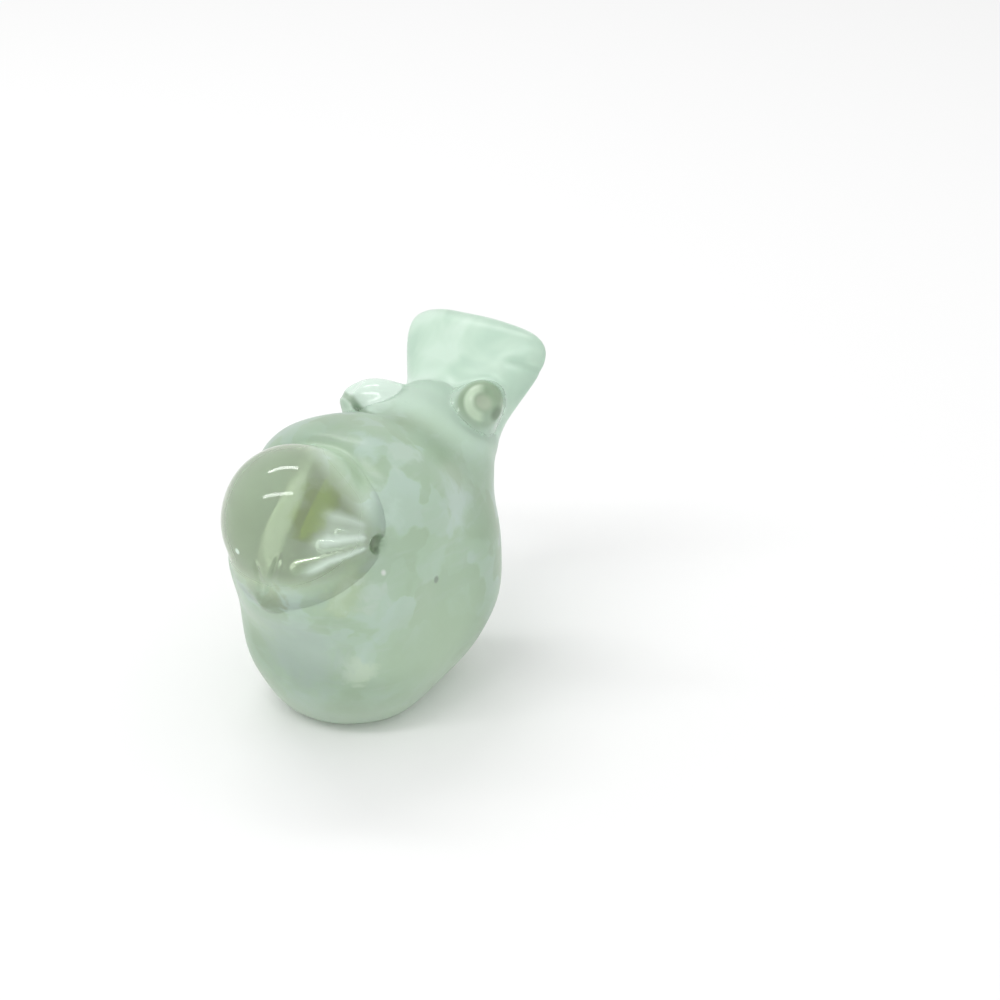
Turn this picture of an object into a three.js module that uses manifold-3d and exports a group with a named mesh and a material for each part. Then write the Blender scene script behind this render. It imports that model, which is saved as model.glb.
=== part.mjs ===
// Glass bird paperweight: a plump resting bird of solid pale green glass. The body is one gather of glass,
// ground flat underneath. The head, tail and wing tips are bits laid on it, and the beak is a bit laid on
// the head. Two coloured veins run through the head, and each eye is a bead in the mouth of an air pocket.
// Millimetres, +Z up. The bird faces -Y, its left side is +X, and the origin is on its flat base.

import * as THREE from 'three';
import { mergeVertices } from 'three/addons/utils/BufferGeometryUtils.js';
import Module from 'manifold-3d';

const wasm = await Module();
wasm.setup();

// Seams: the gap between two bits of glass that meet
const SEAM_GAP = 0.3;

// Body: five lumps of one gather, each an ellipsoid, blended into one another
const BREAST_WIDTH = 41;
const BREAST_LENGTH = 37;
const BREAST_HEIGHT = 45.5;
const BREAST_FORWARD = 11;
const BREAST_CENTRE_HEIGHT = 18;
const RUMP_WIDTH = 47;
const RUMP_LENGTH = 39;
const RUMP_HEIGHT = 56;
const RUMP_BACK = 4;
const RUMP_CENTRE_HEIGHT = 25.5;
const NECK_WIDTH = 41;
const NECK_LENGTH = 27;
const NECK_HEIGHT = 28;
const NECK_FORWARD = 7.5;
const NECK_CENTRE_HEIGHT = 43;
const SADDLE_WIDTH = 30;
const SADDLE_LENGTH = 22;
const SADDLE_HEIGHT = 28.5;
const SADDLE_BACK = 16.5;
const SADDLE_CENTRE_HEIGHT = 41;
const COLLAR_WIDTH = 41;
const COLLAR_LENGTH = 29;
const COLLAR_HEIGHT = 20;
const COLLAR_OVERHANG = 3;
const COLLAR_CENTRE_HEIGHT = 31;
const LUMP_CREASE = 8;

// Head: a ball in a cup of the body, set back from the front of the breast
const HEAD_DIAMETER = 27.6;
const HEAD_SET_BACK = 5.3;
const HEAD_CENTRE_HEIGHT = 45;

// Beak: a short pinched point under the front of the head
const BEAK_ROOT_DIAMETER = 11;
const BEAK_LENGTH = 3;
const BEAK_TIP_DIAMETER = 1.4;
const BEAK_SINK = 3;
const BEAK_DROP_ANGLE = 50;

// Eyes: a bead in the mouth of a tear-shaped air pocket, on each side of the head
const EYE_DIAMETER = 1.8;
const EYE_SINK = 0.3;
const EYE_TURN_ANGLE = 14;
const EYE_DROP_ANGLE = 9;
const POCKET_DIAMETER = 4;
const POCKET_TURN_ANGLE = 22;
const POCKET_RISE_ANGLE = 8;
const LEFT_POCKET_LENGTH = 13;
const RIGHT_POCKET_LENGTH = 4.4;

// Veins: two leaves of coloured glass, side by side, from behind the middle of the head to its seat
const VEIN_SLOPE_ANGLE = 62;
const VEIN_TURN_ANGLE = 32;
const VEIN_LEAN_ANGLE = 20;
const VEIN_SET_BACK = 3;
const VEIN_ACROSS = -1;
const VEIN_ALONG = -0.75;
const VEIN_WALL = 0.4;
const PALE_LENGTH = 13;
const PALE_FAR_WIDTH = 2.2;
const PALE_NEAR_WIDTH = 0.2;
const OLIVE_LENGTH = 8.4;
const OLIVE_FAR_WIDTH = 2.7;
const OLIVE_NEAR_WIDTH = 0.2;
const OLIVE_SHIFT = 2.7;
const OLIVE_TURN_ANGLE = -3;

// Tail: a flared paddle that rises from the rump
const TAIL_LENGTH = 19.3;
const TAIL_ROOT_WIDTH = 18;
const TAIL_END_WIDTH = 47;
const TAIL_ROOT_THICKNESS = 15;
const TAIL_END_THICKNESS = 8;
const TAIL_PITCH_ANGLE = 59;
const TAIL_ROLL_ANGLE = -4;
const TAIL_SEAT_TURN_ANGLE = 3.5;
const TAIL_SEAT_RISE_ANGLE = 30;
const TAIL_SINK = 9;
const TAIL_FLARE = 1.5;
const TAIL_END_SQUARENESS = 4.2;

// Wing tips: a pinched nub on each side of the back, set by hand, with a thumb dent in its outer front
const WING_TIP_DIAMETER = 9.6;
const WING_TIP_SINK = 4;
const WING_DENT_DIAMETER = 7.4;
const WING_DENT_DEPTH = 1.4;
const WING_DENT_TURN_ANGLE = 121;
const WING_DENT_RISE_ANGLE = 43;
const LEFT_WING_TURN_ANGLE = 27;
const LEFT_WING_RISE_ANGLE = 42;
const LEFT_WING_TIP_RISE = 7;
const LEFT_WING_TIP_WIDTH = 9.6;
const RIGHT_WING_TURN_ANGLE = 37;
const RIGHT_WING_RISE_ANGLE = 54;
const RIGHT_WING_TIP_RISE = 4;
const RIGHT_WING_TIP_WIDTH = 13;

// Facets
const BODY_FACETS = [48, 32];
const HEAD_FACETS = [36, 24];
const NUB_FACETS = [18, 12];
const BEAK_FACETS = 20;
const POCKET_FACETS = 20;
const EYE_FACETS = [12, 8];
const TAIL_RINGS = 14;
const TAIL_FACETS = 24;
const LEAF_FACETS = 10;
const REACH_HALVINGS = 26;

// Glass colours
const CLEAR_GLASS = 0xa9bfac;
const PALE_GLASS = 0xc8e2d4;
const OLIVE_GLASS = 0x8ca573;
const DARK_GLASS = 0x3c4a3f;

const { degToRad: radians, lerp } = THREE.MathUtils;
const point = (x, y, z) => new THREE.Vector3(x, y, z);

// Solids and geometry

function solidOf(geometry) {
  geometry.deleteAttribute('normal');
  geometry.deleteAttribute('uv');
  const merged = mergeVertices(geometry);
  const vertProperties = new Float32Array(merged.attributes.position.array);
  const triVerts = new Uint32Array(merged.index.array);
  return new wasm.Manifold(new wasm.Mesh({ numProp: 3, vertProperties, triVerts }));
}

function glassMesh(name, solid, colour, roughness = 0.05) {
  const { vertProperties, triVerts } = solid.getMesh();
  const geometry = new THREE.BufferGeometry();
  geometry.setAttribute('position', new THREE.BufferAttribute(vertProperties, 3));
  geometry.setIndex(new THREE.BufferAttribute(triVerts, 1));
  geometry.computeVertexNormals();
  const material = new THREE.MeshStandardMaterial({ color: colour, roughness, metalness: 0 });
  const mesh = new THREE.Mesh(geometry, material);
  mesh.name = name;
  return mesh;
}

// A turned shape stands along local +Y: this lays its axis along a direction from a point
function laidAlong(geometry, origin, direction) {
  const turn = new THREE.Quaternion().setFromUnitVectors(point(0, 1, 0), direction);
  return geometry.applyQuaternion(turn).translate(origin.x, origin.y, origin.z);
}

// A direction that is turned from straight back (+Y) towards a side and raised above level
function heading(turnAngle, riseAngle, side) {
  const turn = radians(turnAngle);
  const rise = radians(riseAngle);
  return point(side * Math.sin(turn) * Math.cos(rise), Math.cos(turn) * Math.cos(rise), Math.sin(rise));
}

// Body

const MAIN_LUMPS = [
  {
    centre: point(0, -BREAST_FORWARD, BREAST_CENTRE_HEIGHT),
    radii: point(BREAST_WIDTH, BREAST_LENGTH, BREAST_HEIGHT).divideScalar(2),
  },
  {
    centre: point(0, RUMP_BACK, RUMP_CENTRE_HEIGHT),
    radii: point(RUMP_WIDTH, RUMP_LENGTH, RUMP_HEIGHT).divideScalar(2),
  },
  {
    centre: point(0, -NECK_FORWARD, NECK_CENTRE_HEIGHT),
    radii: point(NECK_WIDTH, NECK_LENGTH, NECK_HEIGHT).divideScalar(2),
  },
  {
    centre: point(0, SADDLE_BACK, SADDLE_CENTRE_HEIGHT),
    radii: point(SADDLE_WIDTH, SADDLE_LENGTH, SADDLE_HEIGHT).divideScalar(2),
  },
];

// The collar is a low roll of glass that rises round the chin, a little past the front of the breast
const BREAST_FRONT = BREAST_FORWARD + BREAST_LENGTH / 2;
const COLLAR = {
  centre: point(0, COLLAR_LENGTH / 2 - COLLAR_OVERHANG - BREAST_FRONT, COLLAR_CENTRE_HEIGHT),
  radii: point(COLLAR_WIDTH, COLLAR_LENGTH, COLLAR_HEIGHT).divideScalar(2),
};
const LUMPS = [...MAIN_LUMPS, COLLAR];

const CENTRE_SUM = MAIN_LUMPS.reduce((sum, lump) => sum.add(lump.centre), point(0, 0, 0));
const BODY_CORE = CENTRE_SUM.divideScalar(MAIN_LUMPS.length);

// A distance from the core that is outside every lump
const BODY_FAR = LUMPS.reduce((sum, lump) => sum + 2 * Math.max(...lump.radii), 0);

// Glass is where this is over 1: each lump alone ends at its ellipsoid, and near ones melt together
function glassAt(place) {
  return LUMPS.reduce((sum, lump) => {
    const depth = place.clone().sub(lump.centre).divide(lump.radii).length();
    return sum + Math.exp(LUMP_CREASE * (1 - depth));
  }, 0);
}

// How far a ray from the core goes before it leaves the glass, found by halving
function bodyReach(direction) {
  let inside = 0;
  let outside = BODY_FAR;
  for (let halving = 0; halving < REACH_HALVINGS; halving += 1) {
    const middle = (inside + outside) / 2;
    const glass = glassAt(BODY_CORE.clone().addScaledVector(direction, middle)) > 1;
    inside = glass ? middle : inside;
    outside = glass ? outside : middle;
  }
  return inside;
}

function onBody(direction, above = 0) {
  return BODY_CORE.clone().addScaledVector(direction, bodyReach(direction) + above);
}

function gather(grow = 0) {
  const geometry = new THREE.SphereGeometry(1, ...BODY_FACETS);
  const position = geometry.attributes.position;
  for (let i = 0; i < position.count; i += 1) {
    const direction = point(0, 0, 0).fromBufferAttribute(position, i).normalize();
    position.setXYZ(i, ...onBody(direction, grow));
  }
  return solidOf(geometry);
}

// Everything below the table, which grinds the base flat
function groundAway() {
  const block = new THREE.BoxGeometry(2 * BODY_FAR, 2 * BODY_FAR, BODY_FAR);
  return solidOf(block.translate(0, 0, -BODY_FAR / 2));
}

// The head sits in a cup of the body, and the mouths of the eye pockets stay open where the body comes near
function body() {
  return gather()
    .subtract(groundAway())
    .subtract(headBall(SEAM_GAP))
    .subtract(pocket(1, LEFT_POCKET_LENGTH))
    .subtract(pocket(-1, RIGHT_POCKET_LENGTH));
}

// Head

const HEAD_RADIUS = HEAD_DIAMETER / 2;
const HEAD_CENTRE = point(0, HEAD_SET_BACK - BREAST_FRONT, HEAD_CENTRE_HEIGHT);

function headBall(grow = 0) {
  const ball = new THREE.SphereGeometry(HEAD_RADIUS + grow, ...HEAD_FACETS);
  return solidOf(ball.translate(HEAD_CENTRE.x, HEAD_CENTRE.y, HEAD_CENTRE.z));
}

function onHead(direction, above = 0) {
  return HEAD_CENTRE.clone().addScaledVector(direction, HEAD_RADIUS + above);
}

function head() {
  return headBall()
    .subtract(pocket(1, LEFT_POCKET_LENGTH))
    .subtract(pocket(-1, RIGHT_POCKET_LENGTH))
    .subtract(paleVein(SEAM_GAP))
    .subtract(oliveVein(SEAM_GAP));
}

// Beak

function beak() {
  const drop = radians(BEAK_DROP_ANGLE);
  const direction = point(0, -Math.cos(drop), -Math.sin(drop));
  const profile = [
    new THREE.Vector2(0, -BEAK_SINK),
    new THREE.Vector2(BEAK_ROOT_DIAMETER / 2, -BEAK_SINK),
    new THREE.Vector2(BEAK_TIP_DIAMETER / 2, BEAK_LENGTH),
    new THREE.Vector2(0, BEAK_LENGTH + BEAK_TIP_DIAMETER / 4),
  ];
  const bit = laidAlong(new THREE.LatheGeometry(profile, BEAK_FACETS), onHead(direction), direction);
  return solidOf(bit).subtract(headBall(SEAM_GAP)).subtract(gather(SEAM_GAP));
}

// Eyes

function eyeDirection(side) {
  return heading(90 - EYE_TURN_ANGLE, -EYE_DROP_ANGLE, side);
}

function eyeCentre(side) {
  return onHead(eyeDirection(side), -EYE_SINK);
}

// The pocket runs in from the bead to its round belly
function pocket(side, length) {
  const outward = heading(90 - POCKET_TURN_ANGLE, POCKET_RISE_ANGLE, side);
  const mouthRadius = EYE_DIAMETER / 2 + SEAM_GAP;
  const belly = POCKET_DIAMETER / 2;
  const profile = [];
  for (let step = 0; step <= POCKET_FACETS / 4; step += 1) {
    const around = 2 * Math.PI * (step / POCKET_FACETS);
    profile.push(new THREE.Vector2(belly * Math.sin(around), belly - length - belly * Math.cos(around)));
  }
  profile.push(
    new THREE.Vector2(mouthRadius, 0),
    new THREE.Vector2(mouthRadius, HEAD_RADIUS),
    new THREE.Vector2(0, HEAD_RADIUS),
  );
  return solidOf(laidAlong(new THREE.LatheGeometry(profile, POCKET_FACETS), eyeCentre(side), outward));
}

function eye(side) {
  const bead = new THREE.SphereGeometry(EYE_DIAMETER / 2, ...EYE_FACETS);
  const centre = eyeCentre(side);
  return solidOf(bead.translate(centre.x, centre.y, centre.z));
}

// Veins: leaves drawn across the head, with their near edges side by side

function leaf(length, leftWidth, rightWidth, grow) {
  const halfLength = length / 2 + 2 * grow;
  const shape = new THREE.Shape();
  shape.moveTo(0, -halfLength);
  shape.quadraticCurveTo(2 * (rightWidth + grow), 0, 0, halfLength);
  shape.quadraticCurveTo(-2 * (leftWidth + grow), 0, 0, -halfLength);
  return shape;
}

function vein(shape, across, along, turnAngle, grow) {
  const depth = HEAD_DIAMETER;
  const options = { depth, bevelEnabled: false, curveSegments: LEAF_FACETS };
  const geometry = new THREE.ExtrudeGeometry(shape, options);
  geometry.rotateZ(radians(turnAngle));
  geometry.translate(across, along, grow - depth - VEIN_SET_BACK);
  geometry.rotateZ(radians(-VEIN_LEAN_ANGLE));
  geometry.translate(VEIN_ACROSS, VEIN_ALONG, 0);
  geometry.rotateX(radians(VEIN_SLOPE_ANGLE));
  geometry.rotateZ(radians(VEIN_TURN_ANGLE));
  geometry.translate(HEAD_CENTRE.x, HEAD_CENTRE.y, HEAD_CENTRE.z);
  const solid = solidOf(geometry);
  return grow > 0 ? solid : solid.intersect(headBall(-SEAM_GAP));
}

function paleVein(grow = 0) {
  return vein(leaf(PALE_LENGTH, PALE_FAR_WIDTH, PALE_NEAR_WIDTH, grow), 0, 0, 0, grow);
}

function oliveVein(grow = 0) {
  const across = PALE_NEAR_WIDTH + 2 * SEAM_GAP + VEIN_WALL + OLIVE_NEAR_WIDTH;
  const shape = leaf(OLIVE_LENGTH, OLIVE_NEAR_WIDTH, OLIVE_FAR_WIDTH, grow);
  return vein(shape, across, OLIVE_SHIFT, OLIVE_TURN_ANGLE, grow);
}

// Tail

function tailPaddle(grow = 0) {
  const positions = [];
  const length = TAIL_LENGTH + TAIL_SINK + grow;
  for (let ring = 0; ring < TAIL_RINGS; ring += 1) {
    const share = Math.sin((Math.PI / 2) * (ring / TAIL_RINGS));
    const round = (1 - share ** TAIL_END_SQUARENESS) ** (1 / TAIL_END_SQUARENESS);
    const halfWidth = lerp(TAIL_ROOT_WIDTH, TAIL_END_WIDTH, share ** TAIL_FLARE) / 2 + grow;
    const halfThickness = lerp(TAIL_ROOT_THICKNESS, TAIL_END_THICKNESS, share) / 2 + grow;
    for (let step = 0; step < TAIL_FACETS; step += 1) {
      const around = 2 * Math.PI * (step / TAIL_FACETS);
      const across = round * halfWidth * Math.cos(around);
      const through = round * halfThickness * Math.sin(around);
      positions.push(across, share * length, through);
    }
  }
  const rootMiddle = TAIL_RINGS * TAIL_FACETS;
  const endMiddle = rootMiddle + 1;
  positions.push(0, 0, 0, 0, length, 0);
  const indices = [];
  for (let step = 0; step < TAIL_FACETS; step += 1) {
    const next = (step + 1) % TAIL_FACETS;
    for (let ring = 0; ring < TAIL_RINGS - 1; ring += 1) {
      const low = ring * TAIL_FACETS;
      const high = low + TAIL_FACETS;
      indices.push(low + step, high + step, low + next, high + step, high + next, low + next);
    }
    const last = (TAIL_RINGS - 1) * TAIL_FACETS;
    indices.push(rootMiddle, step, next, endMiddle, last + next, last + step);
  }
  const geometry = new THREE.BufferGeometry();
  geometry.setAttribute('position', new THREE.Float32BufferAttribute(positions, 3));
  geometry.setIndex(indices);
  geometry.rotateY(radians(TAIL_ROLL_ANGLE)).rotateX(radians(TAIL_PITCH_ANGLE));
  const pitch = radians(TAIL_PITCH_ANGLE);
  const seat = onBody(heading(TAIL_SEAT_TURN_ANGLE, TAIL_SEAT_RISE_ANGLE, 1));
  const root = seat.addScaledVector(point(0, Math.cos(pitch), Math.sin(pitch)), -TAIL_SINK);
  return solidOf(geometry.translate(root.x, root.y, root.z));
}

function tail() {
  return tailPaddle().subtract(gather(SEAM_GAP));
}

// Wing tips

function wingTip(side, turnAngle, riseAngle, tipRise, width) {
  const direction = heading(turnAngle, riseAngle, side);
  const halfLength = (tipRise + WING_TIP_SINK) / 2;
  const nub = new THREE.SphereGeometry(1, ...NUB_FACETS);
  nub.scale(width / 2, halfLength, WING_TIP_DIAMETER / 2);
  const middle = onBody(direction, tipRise - halfLength);
  return solidOf(laidAlong(nub, middle, direction))
    .subtract(thumbDent(middle, side))
    .subtract(gather(SEAM_GAP))
    .subtract(tailPaddle(SEAM_GAP));
}

function thumbDent(nubMiddle, side) {
  const dent = new THREE.SphereGeometry(WING_DENT_DIAMETER / 2, ...NUB_FACETS);
  const reach = (WING_TIP_DIAMETER + WING_DENT_DIAMETER) / 2 - WING_DENT_DEPTH;
  const facing = heading(WING_DENT_TURN_ANGLE, WING_DENT_RISE_ANGLE, side);
  const middle = nubMiddle.clone().addScaledVector(facing, reach);
  return solidOf(dent.translate(middle.x, middle.y, middle.z));
}

const leftWingTip = wingTip(
  1, LEFT_WING_TURN_ANGLE, LEFT_WING_RISE_ANGLE, LEFT_WING_TIP_RISE, LEFT_WING_TIP_WIDTH,
);
const rightWingTip = wingTip(
  -1, RIGHT_WING_TURN_ANGLE, RIGHT_WING_RISE_ANGLE, RIGHT_WING_TIP_RISE, RIGHT_WING_TIP_WIDTH,
);

const bird = new THREE.Group();
bird.add(
  glassMesh('body', body(), CLEAR_GLASS),
  glassMesh('head', head(), CLEAR_GLASS),
  glassMesh('beak', beak(), CLEAR_GLASS),
  glassMesh('tail', tail(), PALE_GLASS),
  glassMesh('left_wing_tip', leftWingTip, CLEAR_GLASS),
  glassMesh('right_wing_tip', rightWingTip, CLEAR_GLASS),
  glassMesh('left_eye', eye(1), DARK_GLASS),
  glassMesh('right_eye', eye(-1), DARK_GLASS),
  glassMesh('pale_vein', paleVein(), PALE_GLASS),
  glassMesh('olive_vein', oliveVein(), OLIVE_GLASS),
);

export default bird;
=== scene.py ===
# %% [markdown]
# # A glass bird paperweight
# The object is a plump resting bird of solid milky green glass, small enough for one hand. The frame
# holds its ten CAD solids, with facets and open seams. This lesson melts copies of them into smooth
# glass, gives each piece its finish and sets up the lamps and camera for one picture. The frame itself
# is only read: every piece that shows is a new mesh that rides on it.

# %% The frame
import functools
import math

import bpy
import numpy as np
import openvdb as vdb
from mathutils import Matrix, Vector


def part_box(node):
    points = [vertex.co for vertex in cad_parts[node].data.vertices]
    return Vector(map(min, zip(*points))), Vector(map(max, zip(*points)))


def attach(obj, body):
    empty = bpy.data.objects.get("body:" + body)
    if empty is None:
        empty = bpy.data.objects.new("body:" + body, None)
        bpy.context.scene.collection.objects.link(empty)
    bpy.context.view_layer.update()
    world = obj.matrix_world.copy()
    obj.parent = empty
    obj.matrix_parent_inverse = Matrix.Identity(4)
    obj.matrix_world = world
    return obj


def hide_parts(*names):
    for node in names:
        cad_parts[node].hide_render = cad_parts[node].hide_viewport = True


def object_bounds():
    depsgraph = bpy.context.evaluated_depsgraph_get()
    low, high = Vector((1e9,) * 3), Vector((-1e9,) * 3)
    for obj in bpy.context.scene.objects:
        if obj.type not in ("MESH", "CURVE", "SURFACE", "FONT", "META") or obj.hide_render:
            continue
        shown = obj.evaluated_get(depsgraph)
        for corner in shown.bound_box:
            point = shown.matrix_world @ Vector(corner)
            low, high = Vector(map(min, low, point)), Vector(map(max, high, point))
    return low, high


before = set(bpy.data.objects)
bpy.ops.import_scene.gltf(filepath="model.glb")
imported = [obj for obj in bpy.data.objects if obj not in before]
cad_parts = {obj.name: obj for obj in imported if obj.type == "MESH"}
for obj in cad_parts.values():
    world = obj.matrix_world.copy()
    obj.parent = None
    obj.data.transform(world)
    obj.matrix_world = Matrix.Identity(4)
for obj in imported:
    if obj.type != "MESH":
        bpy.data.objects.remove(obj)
cad_low, cad_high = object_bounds()
print("CAD box in mm:", [round(1000 * v, 1) for v in (*cad_low, *cad_high)])

# %% [markdown]
# Hot glass has no sharp joins: where two bits meet, the crease fills and rounds. A bevel can't find a
# crease between two separate meshes, and sculpting by hand isn't repeatable, so the bits become depth
# fields here. A depth field is a block of numbers on a regular grid, each the distance to the surface,
# below zero inside. Fields can be blended, cut and rippled with plain arithmetic, and then be turned back
# into a mesh.

# %% Depth fields
MM = 0.001
PITCH = 0.5
MARGIN = 6
BAND = 20
WELD_DIGITS = 4
BLUR_REACH = 3

low_index = np.floor(np.array(cad_low) / MM / PITCH).astype(int) - MARGIN
high_index = np.ceil(np.array(cad_high) / MM / PITCH).astype(int) + MARGIN
GRID_SHAPE = tuple(high_index - low_index + 1)
axes = [(low_index[k] + np.arange(GRID_SHAPE[k])) * PITCH for k in range(3)]
X, Y, Z = np.meshgrid(*axes, indexing="ij", sparse=True)


def node_triangles(name):
    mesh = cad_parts[name].data
    mesh.calc_loop_triangles()
    points = np.array([v.co for v in mesh.vertices]) / MM
    corners = np.array([t.vertices for t in mesh.loop_triangles])
    points, index = np.unique(np.round(points, WELD_DIGITS), axis=0, return_inverse=True)
    corners = index.reshape(-1)[corners]
    real = np.all(corners != np.roll(corners, 1, axis=1), axis=1)
    return points.astype(np.float32), corners[real].astype(np.uint32)


def depth_field(name, pitch=PITCH, start=low_index, shape=GRID_SHAPE):
    points, triangles = node_triangles(name)
    grid = vdb.FloatGrid.createLevelSetFromPolygons(
        points, triangles=triangles, transform=vdb.createLinearTransform(voxelSize=pitch), halfWidth=BAND)
    field = np.empty(shape, np.float32)
    grid.copyToArray(field, ijk=tuple(int(k) for k in start))
    return field


def softened(field, spread):
    reach = int(math.ceil(BLUR_REACH * spread))
    weights = np.exp(-0.5 * (np.arange(-reach, reach + 1) / spread) ** 2)
    weights /= weights.sum()
    for axis in range(3):
        padded = np.pad(field, [(reach, reach) if k == axis else (0, 0) for k in range(3)], mode="edge")
        size = field.shape[axis]
        field = sum(np.take(padded, np.arange(k, k + size), axis=axis) * w for k, w in enumerate(weights))
    return field


print("grid of", GRID_SHAPE, "points,", PITCH, "mm apart")

# %% [markdown]
# The body, beak, tail and wing tips come from the frame's own solids. Their flat facets would show at
# once in glass, so each field is blurred a little: a wide blur for the broad body, a narrow one for the
# small beak. The head is a true ball, so its field is a formula, with the ball's place and size taken
# from the frame.

# %% Six bits of glass
SOFTENING = {"body": 1.7, "beak": 0.5, "tail": 1.2, "left_wing_tip": 0.45, "right_wing_tip": 0.6}


def node_middle(name):
    low, high = (np.array(v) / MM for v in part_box(name))
    return (low + high) / 2, (high - low) / 2


def reach_from(spot, grid=(X, Y, Z)):
    return np.sqrt(sum((axis - s) ** 2 for axis, s in zip(grid, spot)))


depths = {name: softened(depth_field(name), spread / PITCH) for name, spread in SOFTENING.items()}
head_centre, head_half = node_middle("head")
head_radius = head_half[0]
depths["head"] = reach_from(head_centre) - head_radius
for name, field in depths.items():
    print(name, "holds about", round(float((field < 0).sum()) * PITCH ** 3), "cubic mm")

# %% [markdown]
# A soft minimum of two fields joins the bits and fills the crease between them with a fillet. The head
# keeps a crisp crease at its crown and melts into the breast at its left cheek, so that fillet's size
# changes round the head. A few slow waves follow, because a hand-shaped gather is never quite true.

# %% Melting the bits together
CROWN_FILLET = 2.6
CHEEK_FILLET = 10.0
FILLETS = {"tail": 5.5, "left_wing_tip": 2.6, "right_wing_tip": 2.8, "beak": 2.2}
CHEEK_WAY = (0.55, -0.40, -0.73)
CHEEK_EDGE = (-0.35, 0.45)
LEAST_REACH = 0.1
WAVES = 9
WAVE_HEIGHT = 0.10
WAVE_LENGTHS = (9, 16)
WAVE_SEED = 7


def soft_union(first, second, fillet):
    share = np.maximum(fillet - np.abs(first - second), 0) / fillet
    return np.minimum(first, second) - share * share * fillet / 4


def smooth_step(value, low, high):
    share = np.clip((value - low) / (high - low), 0, 1)
    return share * share * (3 - 2 * share)


def offset_from(spot, way, grid):
    return sum((axis - s) * w for axis, s, w in zip(grid, spot, way))


def slow_waves(luck, grid):
    total = 0
    for _ in range(WAVES):
        way = luck.normal(size=3)
        way *= 2 * math.pi / luck.uniform(*WAVE_LENGTHS) / np.linalg.norm(way)
        total = total + np.sin(offset_from((0, 0, 0), way, grid) + luck.uniform(0, 2 * math.pi))
    return total / math.sqrt(WAVES)


def melted(depths, grid):
    from_middle = np.maximum(reach_from(head_centre, grid), LEAST_REACH)
    towards_cheek = offset_from(head_centre, CHEEK_WAY, grid) / from_middle
    fillet = CROWN_FILLET + (CHEEK_FILLET - CROWN_FILLET) * smooth_step(towards_cheek, *CHEEK_EDGE)
    field = soft_union(depths["body"], depths["head"], fillet)
    for name, size in FILLETS.items():
        field = soft_union(field, depths[name], size)
    return field + WAVE_HEIGHT * slow_waves(np.random.RandomState(WAVE_SEED), grid)


print("fillets from", CROWN_FILLET, "to", CHEEK_FILLET, "mm round the head")

# %% [markdown]
# A maker's tools leave marks. A blade has pressed a groove beside the far wing tip, and pinching the beak
# has drawn two creases up the face. A jaw's edge has left a short crease on the tail. Each mark is a thin
# plane: the field is pushed inward close to the plane, and the push fades with distance from the middle
# of the mark. That follows the curved surface better than a cut with a rod. A thumb has left a hollow
# under the right cheek, and the base is ground flat last.

# %% Tool marks
BEAK_WAY = np.array((0, -0.64, -0.77))
chin = head_centre + head_radius * BEAK_WAY
MARKS = {
    "wing_groove": {"spot": (-12.9, 9.2, 53.6), "across": (-0.42, -0.83, -0.36), "middle": (-8.5, 6.8, 54.1),
                    "reach": 9.0, "width": 0.9, "depth": 0.6},
    "left_crease": {"spot": chin, "across": (0.87, 0.38, -0.32),
                    "middle": head_centre + head_radius * np.array((0.25, -0.89, -0.37)),
                    "reach": 7.0, "width": 0.5, "depth": 0.3},
    "right_crease": {"spot": chin, "across": (0.99, 0.09, -0.07),
                     "middle": head_centre + head_radius * np.array((0.04, -0.87, -0.49)),
                     "reach": 6.0, "width": 0.5, "depth": 0.3},
    "tail_crease": {"spot": (11.9, 28.7, 58.8), "across": (0.06, -0.57, -0.82), "middle": (15.0, 30.0, 58.2),
                    "reach": 4.5, "width": 0.8, "depth": 0.25},
}
FADE_START = 0.6
HOLLOW_SPOT = (-14.8, -27.5, 32.0)
HOLLOW_REACH = 6.5
HOLLOW_DEPTH = 2.0
GROUND = 0.03


def tooled(field, grid):
    for mark in MARKS.values():
        fade = 1 - smooth_step(reach_from(mark["middle"], grid), FADE_START * mark["reach"], mark["reach"])
        offset = offset_from(mark["spot"], mark["across"], grid)
        field = field + mark["depth"] * fade * np.exp(-(offset / mark["width"]) ** 2)
    field = field + HOLLOW_DEPTH * np.exp(-(reach_from(HOLLOW_SPOT, grid) / HOLLOW_REACH) ** 2)
    return np.maximum(field, GROUND - grid[2])


print(len(MARKS), "tool marks and a thumb hollow")

# %% [markdown]
# Each eye is a bead pushed into the hot head, and the air it drags along stays behind it as thin tears.
# In the picture the left eye's tears shine beside the dark dot. Each row below gives a tear's lift at the
# bead and at its far end, its length and the radius of its belly. Tears are holes in the head's field, so
# light turns back at their walls as it does in the real glass. A shallow dimple in the surface keeps each
# bead open to view.

# %% Eyes pushed in
POCKET_TURN = math.radians(22)
POCKET_RISE = math.radians(8)
TEARS = {
    "left_eye": ((1.0, 2.5, 7.5, 0.75), (0.4, 0.9, 10.5, 1.0), (-0.5, -1.7, 14.0, 1.3)),
    "right_eye": ((0.0, 0.3, 4.2, 0.7),),
}
TEAR_START = 1.2
TEAR_NECK = 0.45
DIMPLE_RADIUS = 1.5
DIMPLE_LIFT = 0.4
DIMPLE_FILLET = 1.3


def tear_depth(grid, node, lift, end_lift, length, belly):
    bead, _ = node_middle(node)
    inward = -np.array((math.copysign(math.cos(POCKET_TURN) * math.cos(POCKET_RISE), bead[0]),
                        math.sin(POCKET_TURN) * math.cos(POCKET_RISE), math.sin(POCKET_RISE)))
    first = bead + inward * TEAR_START + np.array((0, 0, lift))
    last = bead + inward * (length - belly) + np.array((0, 0, end_lift))
    run = np.linalg.norm(last - first)
    way = (last - first) / run
    share = np.clip(offset_from(first, way, grid) / run, 0, 1)
    nearest = [first[k] + way[k] * run * share for k in range(3)]
    return reach_from(nearest, grid) - (TEAR_NECK + (belly - TEAR_NECK) * share)


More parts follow.
